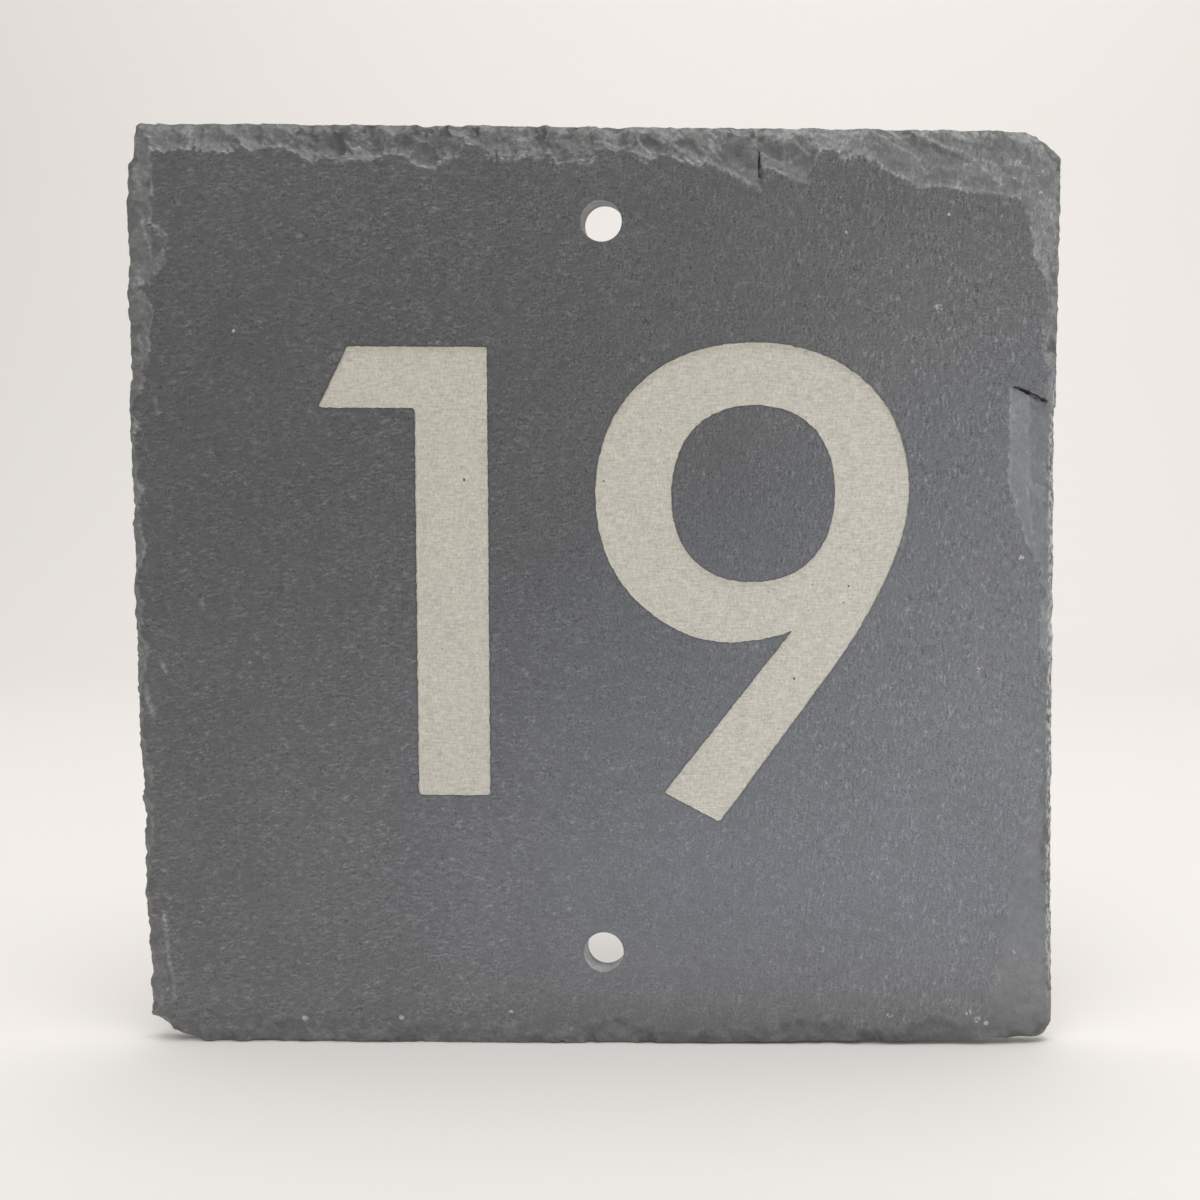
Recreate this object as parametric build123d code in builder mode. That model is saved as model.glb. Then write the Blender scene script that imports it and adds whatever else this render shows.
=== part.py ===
"""House number plaque: one hand-dressed slab of slate with two fixing holes and an engraved number.

Millimetres. X runs across the face, Y into the wall and Z up. The origin is on the back face,
midway between the two fixing holes, so the slab lies between Y = 0 and Y = -thickness.
"""

import os
from math import cos, radians, sin, sqrt

from build123d import *

os.makedirs("parts", exist_ok=True)

# Slab
plaque_width = 150.0
plaque_height = 150.2
thickness = 4.4
slab_centre_x = -1.5
slab_centre_z = -0.4

# How far each corner was cut away from its true square place, across and up
top_left_drift = (-0.05, 0.3)
top_right_drift = (0.25, -0.3)
bottom_right_drift = (0.85, 1.6)
bottom_left_drift = (1.3, 0.5)

# How far the middle of each edge, and of each broken corner, stands out of the line between its ends
top_bow = 0.1
right_bow = -0.65
bottom_bow = 0.6
left_bow = 0.4
corner_bow = 0.35

# Broken corners: how much is gone from the edge before the corner and from the edge after it,
# going round clockwise
top_left_break = (6.5, 1.9)
top_right_break = (5.9, 3.9)
bottom_right_break = (2.1, 2.1)
bottom_left_break = (7.1, 4.2)

# Bevel dressed along the whole top edge
top_bevel_reach = 3.2
top_bevel_depth = 1.0

# Regular bites of the dressing knife along the other edges: pitch, half width at the edge, reach in
# from the edge and depth at the edge
right_bites = (8.0, 8.0, 2.2, 0.8)
bottom_bites = (11.0, 9.5, 3.8, 0.5)
left_bites = (9.0, 7.5, 1.5, 0.4)
bite_swing = 0.35
bite_rhythm = 2.4

# One bite across each broken corner
corner_bite_spread = 0.7
corner_bite_reach = 2.0
corner_bite_depth = 0.8

# Larger flakes: share of the way along the edge, half width at the edge, reach in from the edge
# and depth at the edge
top_flakes = [
    (0.043, 6.6, 5.0, 1.2),
    (0.094, 6.0, 5.2, 1.2),
    (0.134, 4.4, 4.6, 1.1),
    (0.208, 6.4, 6.4, 1.4),
    (0.262, 5.8, 6.5, 1.3),
    (0.330, 6.4, 7.0, 1.6),
    (0.413, 4.6, 5.6, 1.3),
    (0.448, 3.8, 5.4, 1.2),
    (0.489, 5.4, 6.2, 1.4),
    (0.579, 4.6, 5.5, 1.2),
    (0.627, 5.6, 6.1, 1.3),
    (0.800, 7.5, 5.0, 1.0),
]
right_flakes = [
    (0.035, 7.0, 3.9, 1.3),
    (0.120, 6.4, 3.4, 1.1),
]
left_flakes = [
    (0.050, 7.0, 3.6, 0.8),
    (0.107, 5.0, 2.5, 0.6),
    (0.770, 8.0, 3.0, 0.8),
    (0.815, 7.0, 4.8, 0.8),
    (0.895, 4.8, 6.5, 1.2),
    (0.960, 12.0, 4.5, 1.0),
]

# Flakes that split off along planes: two points on the face, across and up from a corner, and how
# steeply a plane falls to the left of the line between them, for each plane of the flake
top_right_splits = [
    # Top edge, left and right of the upper crack
    [
        ((-59.75, 0.6), (-57.25, -6.9), 0.30),
        ((-57.25, -5.6), (-48.25, -10.0), 0.11),
        ((-48.25, -10.4), (-48.25, 0.6), 1.5),
    ],
    [
        ((-48.25, -6.4), (-40.35, -8.7), 0.15),
        ((-40.35, -8.7), (-37.15, -5.0), 0.20),
    ],
    # Top edge towards the corner, and the hollow in it
    [
        ((-31.95, -4.5), (-24.45, -8.7), 0.13),
        ((-23.75, -9.1), (-7.45, -10.8), 0.13),
    ],
    [
        ((-27.15, -2.5), (-21.65, -6.6), 0.40),
        ((-21.65, -6.6), (-12.55, -7.0), 0.40),
        ((-12.55, -6.6), (-21.35, -1.3), 0.55),
    ],
    # The corner itself
    [((-7.35, -10.2), (-4.90, -14.75), 0.18)],
    [((-3.55, -10.8), (-0.55, -15.6), 0.30)],
    [
        ((-4.85, -14.8), (-4.50, -19.5), 0.20),
        ((-4.50, -19.5), (-2.15, -25.3), 0.20),
    ],
    # Right edge below the crack, in two steps
    [
        ((-1.75, -43.2), (-7.55, -40.9), 3.0),
        ((-7.75, -41.4), (-7.65, -59.6), 0.17),
        ((-7.45, -60.4), (-2.55, -69.9), 0.17),
    ],
    [
        ((-1.75, -43.2), (-7.55, -40.9), 3.0),
        ((-5.55, -41.4), (-5.55, -59.4), 0.35),
        ((-5.75, -57.4), (-1.25, -60.2), 0.6),
    ],
]
bottom_right_splits = [
    [
        ((-0.75, 40.9), (-6.35, 28.7), 0.11),
        ((-6.35, 28.7), (-10.85, 4.6), 0.11),
    ],
]

# Fixing holes
hole_diameter = 6.5
hole_spacing = 119.0
hole_chamfer = 0.15

# Engraved numerals, both cut to one depth
engraving_depth = 0.35
numeral_top = 39.4
numeral_height = 72.8

# Numeral 1
stem_right = -18.5
stem_width = 11.7
flag_reach = 15.6
flag_height = 9.8
flag_slant = 4.9

# Numeral 9: bowl and counter, with how full their rounds are and how far they lean
bowl_x = 24.27
bowl_z = 16.2
bowl_width = 50.76
bowl_height = 48.3
bowl_fullness = 0.604
counter_shift_x = 0.17
counter_shift_z = -0.13
counter_width = 26.46
counter_height = 28.58
counter_fullness = 0.626
round_lean = 0.016

# Numeral 9: tail, with its foot measured from the middle of the bowl
tail_foot_x = -9.71
tail_foot_z = -51.46
tail_foot_width = 10.3
tail_foot_angle = -28.0
tail_left_angle = 52.0
tail_left_length = 35.8
tail_right_angle = 54.2
tail_right_length = 31.0
bend_start = 11.0
bend_end = 8.3

front_plane = Plane.XZ.offset(thickness)


def slab_corner(side_x, side_z, drift):
    """A corner of the slab as cut: its square place plus its drift."""
    x = slab_centre_x + side_x * plaque_width / 2 + drift[0]
    z = slab_centre_z + side_z * plaque_height / 2 + drift[1]
    return Vector(x, z)


def turned_left(direction):
    """A direction on the face turned a quarter turn anticlockwise: outward, going clockwise."""
    return Vector(-direction.Y, direction.X)


def polar(length, angle):
    """A step of a given length on the face, at an angle in degrees from X."""
    return Vector(length * cos(radians(angle)), length * sin(radians(angle)))


def bowed(first, last, bow):
    """An arc between two points on the face whose middle stands out by bow, going clockwise."""
    outward = turned_left((last - first).normalized())
    return ThreePointArc(first, (first + last) / 2 + outward * bow, last)


def regular_bites(edge, pitch, half_width, reach, depth):
    """Bites at the knife's pitch, each a little deeper or shallower than the last."""
    count = max(1, round(edge.length / pitch))
    for i in range(count):
        swing = 1 + bite_swing * sin(bite_rhythm * i)
        yield (i + 0.5) / count, half_width, reach * swing, depth * swing


def flake_ball(edge, share, half_width, reach, depth):
    """The ball that scoops one flake out of the front of an edge.

    It meets the face in an arc that starts and ends on the edge, half_width either side, and goes
    in by reach. It cuts depth below the face at the edge. Returned as its centre on the face, its
    height above the face and its radius.
    """
    arc_radius = (half_width**2 + reach**2) / (2 * reach)
    height = (half_width**2 - depth**2) / (2 * depth)
    outward = turned_left(edge % share)
    centre = (edge @ share) + outward * (arc_radius - reach)
    return centre, height, sqrt(height**2 + arc_radius**2)


def split_wedge(planes):
    """What lifts off with one split flake: all that lies above every one of its planes."""
    with BuildPart(front_plane) as wedge:
        Box(4 * plaque_width, 4 * plaque_height, 2 * thickness)
        for first, last, slope in planes:
            inward = turned_left((last - first).normalized())
            origin = (first.X, -thickness, first.Y)
            split(bisect_by=Plane(origin, z_dir=(slope * inward.X, -1, slope * inward.Y)), keep=Keep.TOP)
    return wedge.part


def split_planes(corner, rows):
    """The planes of one split flake, with their points measured from a corner of the slab."""
    return [(corner + Vector(*first), corner + Vector(*last), slope) for first, last, slope in rows]


def round_loop(centre, width, height, fullness):
    """A closed round on the face, of four curves that each bend towards two handles."""
    quarter = [(1, 0), (1, fullness), (fullness, 1), (0, 1)]
    for _ in range(4):
        points = []
        for across, up in quarter:
            z = up * height / 2
            points.append(centre + Vector(across * width / 2 + round_lean * z, z))
        Bezier(*points)
        quarter = [(-up, across) for across, up in quarter]


top_left = slab_corner(-1, 1, top_left_drift)
top_right = slab_corner(1, 1, top_right_drift)
bottom_right = slab_corner(1, -1, bottom_right_drift)
bottom_left = slab_corner(-1, -1, bottom_left_drift)

# Each edge, clockwise: its corners, what is broken off at its start and end, and its bow
edge_rows = [
    (top_left, top_right, top_left_break[1], top_right_break[0], top_bow),
    (top_right, bottom_right, top_right_break[1], bottom_right_break[0], right_bow),
    (bottom_right, bottom_left, bottom_right_break[1], bottom_left_break[0], bottom_bow),
    (bottom_left, top_left, bottom_left_break[1], top_left_break[0], left_bow),
]

# Split flakes and the bevel along the top edge
bevel_drop = Vector(0, -top_bevel_reach)
bevel_slope = top_bevel_depth / top_bevel_reach
wedges = [split_wedge([(top_left + bevel_drop, top_right + bevel_drop, bevel_slope)])]
wedges += [split_wedge(split_planes(top_right, rows)) for rows in top_right_splits]
wedges += [split_wedge(split_planes(bottom_right, rows)) for rows in bottom_right_splits]

with BuildPart() as slate_plaque:
    # Slab, with bowed edges and broken corners
    edges = []
    corners = []
    with BuildSketch(Plane.XZ):
        with BuildLine():
            for start, end, start_break, end_break, bow in edge_rows:
                run = (end - start).normalized()
                edges.append(bowed(start + run * start_break, end - run * end_break, bow))
            for i, edge in enumerate(edges):
                corners.append(bowed(edges[i - 1] @ 1, edge @ 0, corner_bow))
        make_face()
    extrude(amount=thickness)

    # Dressed front edge: bites and flakes are shallow scoops of a ball, split flakes are planes
    top_edge, right_edge, bottom_edge, left_edge = edges
    scoops = [flake_ball(top_edge, *row) for row in top_flakes]
    for edge, bites, flakes in (
        (right_edge, right_bites, right_flakes),
        (bottom_edge, bottom_bites, []),
        (left_edge, left_bites, left_flakes),
    ):
        scoops += [flake_ball(edge, *row) for row in flakes]
        scoops += [flake_ball(edge, *row) for row in regular_bites(edge, *bites)]
    for corner in corners:
        half_width = corner.length * corner_bite_spread
        scoops.append(flake_ball(corner, 0.5, half_width, corner_bite_reach, corner_bite_depth))
    add(wedges, mode=Mode.SUBTRACT)
    for centre, height, radius in scoops:
        with Locations(front_plane * Location((centre.X, centre.Y, height))):
            Sphere(radius, mode=Mode.SUBTRACT)

    # Fixing holes, drilled from the front
    with Locations(front_plane):
        with GridLocations(0, hole_spacing, 1, 2):
            CounterSinkHole(hole_diameter / 2, hole_diameter / 2 + hole_chamfer, counter_sink_angle=90)

    # Engraved numerals
    with BuildSketch(front_plane):
        # Numeral 1: an upright stem with a flag to the left, slanted at its end
        stem_left = stem_right - stem_width
        numeral_foot = numeral_top - numeral_height
        flag_foot = numeral_top - flag_height
        flag_tip = stem_left - flag_reach
        with BuildLine():
            Polyline(
                (flag_tip + flag_slant, numeral_top),
                (stem_right, numeral_top),
                (stem_right, numeral_foot),
                (stem_left, numeral_foot),
                (stem_left, flag_foot),
                (flag_tip, flag_foot),
                close=True,
            )
        make_face()

        # Numeral 9: a round bowl, a tail that bends into its right side, and the counter
        bowl = Vector(bowl_x, bowl_z)
        counter = bowl + Vector(counter_shift_x, counter_shift_z)
        foot = bowl + Vector(tail_foot_x, tail_foot_z)
        foot_left = foot - polar(tail_foot_width / 2, tail_foot_angle)
        foot_right = foot + polar(tail_foot_width / 2, tail_foot_angle)
        tail_root = foot_left + polar(tail_left_length, tail_left_angle)
        elbow = foot_right + polar(tail_right_length, tail_right_angle)
        bowl_side = bowl + Vector(bowl_width / 2, 0)
        with BuildLine():
            round_loop(bowl, bowl_width, bowl_height, bowl_fullness)
        make_face()
        with BuildLine():
            Polyline(elbow, foot_right, foot_left, tail_root, bowl_side)
            Bezier(bowl_side, bowl_side - Vector(0, bend_end), elbow + polar(bend_start, tail_right_angle), elbow)
        make_face()
        with BuildLine():
            round_loop(counter, counter_width, counter_height, counter_fullness)
        make_face(mode=Mode.SUBTRACT)
    extrude(amount=-engraving_depth, mode=Mode.SUBTRACT)

slate_plaque.part.label = "slate_plaque"
export_step(slate_plaque.part, "parts/slate_plaque.step")
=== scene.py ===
"""House number plaque: a hand-dressed slab of slate with two fixing holes and an engraved number.

Face coordinates x, z are millimetres on the front face, x to the right and z up, measured from the
point midway between the two holes. Drop is how far a point lies below the front face.
"""

from math import cos, radians, sin, sqrt

import bpy
import numpy as np
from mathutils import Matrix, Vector
from mathutils.geometry import delaunay_2d_cdt


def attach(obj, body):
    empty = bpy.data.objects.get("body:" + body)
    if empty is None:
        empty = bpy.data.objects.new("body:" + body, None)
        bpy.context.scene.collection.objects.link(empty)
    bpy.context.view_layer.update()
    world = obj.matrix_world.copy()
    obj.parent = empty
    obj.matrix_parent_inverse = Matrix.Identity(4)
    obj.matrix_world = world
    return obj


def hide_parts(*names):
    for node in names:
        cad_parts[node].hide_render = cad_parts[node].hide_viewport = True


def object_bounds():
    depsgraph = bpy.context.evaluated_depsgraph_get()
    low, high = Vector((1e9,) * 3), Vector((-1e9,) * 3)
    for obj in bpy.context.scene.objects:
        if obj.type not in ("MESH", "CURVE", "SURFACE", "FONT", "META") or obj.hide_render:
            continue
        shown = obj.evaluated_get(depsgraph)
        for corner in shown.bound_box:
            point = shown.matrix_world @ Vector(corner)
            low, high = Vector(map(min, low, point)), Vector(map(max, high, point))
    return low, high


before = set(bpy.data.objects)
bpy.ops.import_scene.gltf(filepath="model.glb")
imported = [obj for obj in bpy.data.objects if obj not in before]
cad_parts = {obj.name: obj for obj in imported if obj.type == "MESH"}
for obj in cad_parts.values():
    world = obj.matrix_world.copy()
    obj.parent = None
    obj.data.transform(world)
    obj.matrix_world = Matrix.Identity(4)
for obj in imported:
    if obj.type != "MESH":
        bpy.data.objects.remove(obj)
cad_low, cad_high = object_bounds()

MM = 0.001
thickness = (cad_high.y - cad_low.y) / MM

# Outline: the slab's corners, what is broken off each corner before and after it going round
# clockwise, and how far the middle of each edge bows out
corner_places = {
    "top_left": (-76.55, 75.0),
    "top_right": (73.75, 74.4),
    "bottom_right": (74.35, -73.9),
    "bottom_left": (-75.2, -75.0),
}
corner_breaks = {
    "top_left": (6.5, 1.9),
    "top_right": (5.9, 3.9),
    "bottom_right": (2.1, 2.1),
    "bottom_left": (7.1, 4.2),
}
edge_bows = {"top": 0.1, "right": -0.65, "bottom": 0.6, "left": 0.4, "corner": 0.35}
clockwise = [
    ("top", "top_left", "top_right"),
    ("right", "top_right", "bottom_right"),
    ("bottom", "bottom_right", "bottom_left"),
    ("left", "bottom_left", "top_left"),
]
ring_pitch = 0.4
side_layers = 9

# Notch in the left edge below the upper corner: its depth, the heights between which it sets in and
# fades out, and the places in x between which points begin to move with it
notch_depth = 1.2
notch_foot = (68.2, 69.4)
notch_top = (71.5, 75.5)
notch_side = (-70.0, -74.0)

# Broken sides: how ragged each edge is, how far its points stand out of the outline, and the coarse
# and fine scallops between those points: their size, wavelength and how thin their layers are
raggedness = {"top": 0.55, "right": 0.5, "bottom": 0.35, "left": 1.0, "corner": 0.6}
ragged_outset = 0.25
scallops = [(0.22, 3.4, 1.5), (0.10, 1.5, 5.0)]

# Bites of the dressing knife along each edge: pitch, half width, reach in and depth at the edge
bite_rows = {
    "top": (6.4, 8.5, 3.3, 1.0),
    "right": (8.0, 8.0, 2.2, 0.8),
    "bottom": (11.0, 9.5, 3.8, 0.3),
    "left": (9.0, 7.5, 1.5, 0.4),
}
bite_swing = 0.35
bite_rhythm = 2.4
corner_bite_spread = 0.7
corner_bite_reach = 2.0
corner_bite_depth = 0.8

# Larger flakes: share along the edge, half width, reach in from the edge and depth at the edge
edge_flakes = {
    "top": [
        (0.043, 6.6, 5.0, 1.2),
        (0.094, 6.0, 5.2, 1.2),
        (0.134, 4.4, 4.6, 1.1),
        (0.208, 6.4, 6.4, 1.4),
        (0.262, 5.8, 6.5, 1.3),
        (0.330, 6.4, 7.0, 1.6),
        (0.413, 4.6, 5.6, 1.3),
        (0.448, 3.8, 5.4, 1.2),
        (0.489, 5.4, 6.2, 1.4),
        (0.579, 4.6, 5.5, 1.2),
        (0.627, 5.6, 6.1, 1.3),
        (0.800, 7.5, 5.0, 1.0),
    ],
    "right": [
        (0.035, 7.0, 3.9, 1.3),
        (0.120, 6.4, 3.4, 1.1),
    ],
    "bottom": [],
    "left": [
        (0.050, 7.0, 3.6, 0.8),
        (0.107, 5.0, 2.5, 0.6),
        (0.770, 8.0, 3.0, 0.8),
        (0.815, 7.0, 4.8, 0.8),
        (0.895, 4.8, 6.5, 1.2),
        (0.960, 12.0, 4.5, 1.0),
    ],
}

# Flakes that split off along planes: each one's tone, then the lines on the face that bound it, with
# the scar on the left going from the first point to the second, and how steeply its plane falls
split_flakes = [
    # Top edge, left and right of the upper crack
    (
        1.0,
        [
            ((14.0, 75.0), (16.5, 67.5), 0.30),
            ((16.5, 68.8), (25.5, 64.4), 0.11),
            ((25.5, 64.0), (25.5, 75.0), 1.5),
        ],
    ),
    (
        0.95,
        [
            ((25.5, 68.0), (33.0, 65.8), 0.15),
            ((32.8, 65.8), (34.6, 70.0), 0.25),
        ],
    ),
    # Top edge towards the right corner, and the hollow in it, darkened by painted shade
    (
        1.05,
        [
            ((41.8, 69.9), (49.3, 65.7), 0.13),
            ((50.0, 65.3), (66.3, 63.6), 0.13),
        ],
    ),
    (
        0.80,
        [
            ((45.8, 70.8), (51.7, 66.7), 0.40),
            ((51.5, 66.7), (61.5, 66.3), 0.25),
            ((62.1, 68.9), (53.0, 74.5), 0.55),
        ],
    ),
    # Upper right corner
    (1.0, [((66.4, 64.2), (68.85, 59.65), 0.18)]),
    (0.9, [((70.2, 63.6), (73.2, 58.8), 0.30)]),
    (
        1.0,
        [
            ((68.9, 59.6), (69.25, 54.9), 0.20),
            ((69.25, 54.9), (71.6, 49.1), 0.20),
        ],
    ),
    # Upper left corner
    (
        1.0,
        [
            ((-78.0, 57.5), (-72.0, 58.5), 0.50),
            ((-71.9, 58.0), (-71.5, 72.0), 0.15),
        ],
    ),
    # Right edge below the crack: a smooth band, and the steps between it and the edge
    (
        1.03,
        [
            ((72.0, 31.2), (66.2, 33.5), 3.0),
            ((65.6, 33.5), (65.75, 17.0), 0.17),
            ((65.9, 17.2), (67.9, 10.1), 0.17),
            ((67.6, 10.7), (70.8, 4.4), 0.17),
        ],
    ),
    (
        0.95,
        [
            ((72.0, 31.2), (66.2, 33.5), 3.0),
            ((67.3, 33.0), (67.45, 17.5), 0.35),
            ((69.0, 18.0), (72.4, 15.8), 1.2),
        ],
    ),
    (
        0.99,
        [
            ((72.4, 15.6), (69.0, 17.8), 1.2),
            ((67.7, 16.5), (69.25, 9.0), 0.35),
            ((69.1, 9.4), (70.6, 5.3), 0.35),
        ],
    ),
    # Lower right corner
    (
        1.0,
        [
            ((73.6, -33.0), (68.0, -45.2), 0.11),
            ((68.0, -45.2), (63.5, -69.3), 0.11),
        ],
    ),
]

# Sharp ridges inside the scars, with a painted highlight along them as thin pale lines: the points along
# each
ridge_lines = [
    # Top edge, left of the upper hole
    [(-48.1, 70.8), (-45.1, 69.7)],
    [(-42.3, 68.6), (-39.4, 69.1)],
    [(-40.5, 71.5), (-39.9, 70.6), (-38.6, 70.9)],
    [(-38.4, 69.6), (-34.6, 69.5)],
    [(-30.8, 69.1), (-29.9, 68.3), (-27.0, 67.8), (-24.7, 68.9), (-22.7, 69.7)],
    [(-16.0, 69.2), (-13.7, 68.9), (-12.4, 69.8)],
    [(-10.9, 69.2), (-9.4, 69.1), (-8.3, 70.3)],
    [(-3.7, 68.6), (-2.0, 68.4), (-1.1, 69.6)],
    # Top edge, left of the upper crack
    [(-1.3, 72.2), (2.8, 71.3), (4.3, 70.5), (8.3, 69.4)],
    [(5.8, 73.3), (6.6, 71.4), (8.1, 69.6)],
    [(12.2, 69.4), (15.9, 68.4), (17.2, 69.6)],
    [(16.3, 73.7), (17.1, 72.6), (17.8, 71.1), (18.9, 69.4)],
    [(18.8, 67.9), (20.8, 66.9), (22.7, 66.4)],
    # Top edge, right of the upper crack
    [(25.7, 70.3), (27.2, 69.4), (29.0, 69.0), (30.5, 69.2)],
    [(29.8, 66.7), (31.7, 66.0), (33.1, 65.8)],
    [(30.5, 73.3), (31.7, 71.4), (33.1, 70.3)],
    # Both sides of the hollow
    [(46.6, 71.8), (49.5, 70.6), (51.0, 69.0), (52.1, 67.2)],
    [(52.2, 72.9), (55.3, 71.6), (58.3, 70.6), (60.0, 69.4), (61.5, 67.8), (64.1, 65.8)],
    # Upper right corner
    [(61.2, 69.6), (63.5, 68.7), (65.5, 68.9), (67.0, 69.8)],
    [(70.2, 63.1), (71.1, 62.0), (72.5, 60.2), (73.1, 58.5)],
    [(70.8, 52.0), (72.8, 49.7)],
    # Left edge
    [(-74.9, 67.6), (-74.6, 66.6)],
    [(-74.4, 65.7), (-73.8, 64.0)],
    [(-71.9, 64.6), (-71.7, 63.4)],
    [(-74.3, 60.3), (-73.5, 58.3), (-72.7, 56.6)],
    [(-71.4, 58.6), (-70.6, 57.7), (-69.7, 56.4)],
    [(-73.6, 57.4), (-72.5, 52.9)],
    [(-75.0, 41.3), (-74.1, 39.3)],
    [(-73.3, 37.8), (-73.0, 36.6)],
    [(-72.0, 31.3), (-71.9, 30.2), (-71.8, 28.7)],
    [(-72.0, -11.8), (-71.4, -13.4)],
    [(-74.4, -15.7), (-74.1, -18.0), (-73.7, -21.0)],
    [(-72.7, -53.2), (-71.6, -62.2), (-70.8, -67.3)],
]
ridge_half_width = 0.30

# Chips at the very edge: how many on each edge, the least and greatest half width, and the least and
# greatest reach and depth as shares of the half width
chip_counts = {"top": 130, "right": 60, "bottom": 30, "left": 30, "corner": 6}
chip_half_widths = (0.8, 2.6)
chip_reaches = (0.5, 1.0)
chip_depths = (0.15, 0.38)

# Shallow facets inside the scars: how many on each edge, how far beyond the edge and over what share
# of the strip they are scattered, the least and greatest footprint, the least and greatest depth as
# shares of the footprint, how many times longer than wide they are, and the heading of their length
facet_counts = {"top": 170, "right": 70, "bottom": 40, "left": 70, "corner": 6}
facet_outset = 0.5
facet_strip_share = 0.7
facet_footprints = (0.9, 2.8)
facet_depths = (0.07, 0.18)
facet_stretch = 1.6
facet_heading = -35.0

# Front surface: the waves by which scars wander, each with its size and wavelength, and how much of
# that the split flakes follow
wander_waves = [(0.30, 4.5), (0.11, 1.1)]
split_wander = 0.4

# The step at a scar's rim and the depth over which it grows, how far the very edge is worn down and
# how far in, the riven face's mean drop and its waves, the size and wavelength of the grit of broken
# stone, and the width of the band at the edge that the finish marks
riser_height = 0.05
riser_growth = 0.04
worn_drop = 0.30
worn_reach = 1.5
riven_drop = 0.04
riven_waves = [(0.02, 24.0), (0.006, 4.2)]
broken_grit = (0.012, 1.5)
edge_band = 1.9

# Pale crests, a painted highlight: the weight and the half width, measured in depth, of a scar's rim
# and of the ridges between scars, between facets and between chips
rim_crest = (1.0, 0.05)
scar_crest = (0.6, 0.05)
facet_crest = (0.5, 0.03)
chip_crest = (0.6, 0.04)

# Depths at which a scar and a chip look broken in full, facets are cut in full and ridges set in, then
# where the smooth scars at the right begin, in x, and how much of the facets they lack
broken_scar = 0.07
broken_chip = 0.05
facet_onset = 0.3
ridge_onset = (0.05, 0.2)
smooth_side = (38.0, 50.0)
smooth_share = 0.75

# How much single scars, facets and chips differ in tone
scar_contrast = 0.12
facet_contrast = 0.22
chip_contrast = 0.35

# Tone of broken stone along each edge, as a share of the tone of the face there: shares of the way
# along the edge, clockwise, each with its tone. It is partly paler fresh stone and partly painted
# light and shade: painted light makes the scars paler along the top and sides, and painted shade
# darkens them along the bottom
fresh_and_painted_light_tones = {
    "top": [
        (0.0, 1.3),
        (0.06, 1.65),
        (0.12, 1.45),
        (0.2, 0.95),
        (0.36, 1.05),
        (0.65, 1.1),
        (0.84, 1.4),
        (1.0, 1.5),
    ],
    "right": [(0.0, 1.8), (0.2, 2.0), (0.5, 1.9), (0.6, 1.8), (0.72, 1.2), (0.85, 1.1), (1.0, 1.3)],
    "bottom": [(0.0, 0.86), (0.1, 0.92), (0.2, 0.82), (0.35, 0.86), (0.5, 0.94), (1.0, 1.0)],
    "left": [(0.0, 1.0), (0.13, 1.05), (0.22, 1.6), (0.4, 2.0), (0.7, 1.75), (0.87, 1.4), (1.0, 1.6)],
    "corner": [(0.0, 1.35), (1.0, 1.35)],
}
# How far in from each edge its tones of fresh stone and painted light and shade reach
tone_fall = 3.0

# Mesh: how wide a strip along each edge is meshed closely, and the spacing of points: at ridges, in
# the strips, along the numerals, over the plain face and over the back
strip_widths = {"top": 11.5, "right": 11.0, "bottom": 6.0, "left": 8.0, "corner": 11.5}
ridge_spacing = 0.21
strip_spacing = 0.46
numeral_spacing = 0.32
plain_spacing = 1.3
back_spacing = 1.9

# What counts as close to a ridge: the difference in depth at a scar's rim and at ridges between scars,
# chips and facets, the distance from a drawn line, and the height from which the left edge has ridges
near_rim = 0.11
near_ridge = 0.09
near_chip = 0.05
near_facet = 0.04
near_line = 0.45
steep_from = 25.0

# How far from a numeral's rim points lie close, the half width and half height of the field that holds
# the numerals, and the gaps between closely and widely spaced points
numeral_reach = 0.8
numeral_field = (55, 45)
strip_seam = 0.2
numeral_seam = 0.3

# The least gap between a free point and the slab's outline, at ridges and in the strips, a hole's rim,
# a numeral's rim and floor, and a crack's rim
outline_gap = 0.2
strip_gap = 0.25
hole_gap = 0.2
numeral_gap = 0.16
floor_gap = 0.14
crack_gap = 0.12

# Back: its terraces, each with its height and the levels between which it rises, and the size and
# wavelength of its waves
back_terraces = [(0.10, 0.35, 0.42), (0.08, 0.95, 1.02)]
back_waves = (0.03, 7.0)

# Cracks: the points along each, its half width and its depth, then the pitch of points along the rim,
# how much its width wavers and at what wavelength, and the width of its floor as a share of the rim's
cracks = [
    ([(66.3, 33.5), (68.3, 32.8), (70.1, 31.85), (71.9, 31.2)], 0.27, 0.7),
    ([(25.25, 70.7), (25.1, 68.5), (25.25, 66.4)], 0.12, 0.5),
]
crack_pitch = 0.25
crack_waver = (0.2, 1.1)
crack_floor_share = 0.4

# Fixing holes: their radius, the break of their front edge, their places, the points round each and
# the radius within which the face is meshed closely
hole_radius = 3.25
hole_chamfer = 0.15
hole_places = [(0.0, 59.5), (0.0, -59.5)]
hole_segments = 84
hole_fine_radius = 5.0

# Loops down a hole's bore: the share of the way to the back and how pale it is there, a painted
# highlight, then the tone of the bores and of the slab's sides and back. The bores' tone is partly
# paler drilled stone and partly painted light on their walls
bore_loops = [(0.0, 0.9), (0.04, 0.3), (0.35, 0.3), (0.7, 0.3)]
bore_tone = 2.7
side_tone = 1.2

# Engraving: its depth, how far its floor stands in from the rim, the pitch of points along the rim,
# how far before a corner its rounding starts, the waver of the rim as sizes and wavelengths, and the
# weight and half width of the dark line of painted shadow outside the rim and of the pale one inside it
engraving_depth = 0.35
engraving_wall = 0.08
numeral_pitch = 0.4
numeral_corner = 0.4
numeral_waver = [(0.025, 2.4), (0.03, 1.0)]
painted_shadow_line = (0.8, 0.22)
glow_line = (1.0, 0.28)

# The 1: heights of its top and foot, both sides of its stem, and its flag
numeral_top = 39.4
numeral_foot = -33.4
stem_right = -18.5
stem_left = -30.2
flag_tip = -45.8
flag_foot = 29.6
flag_slant = 4.9

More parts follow.
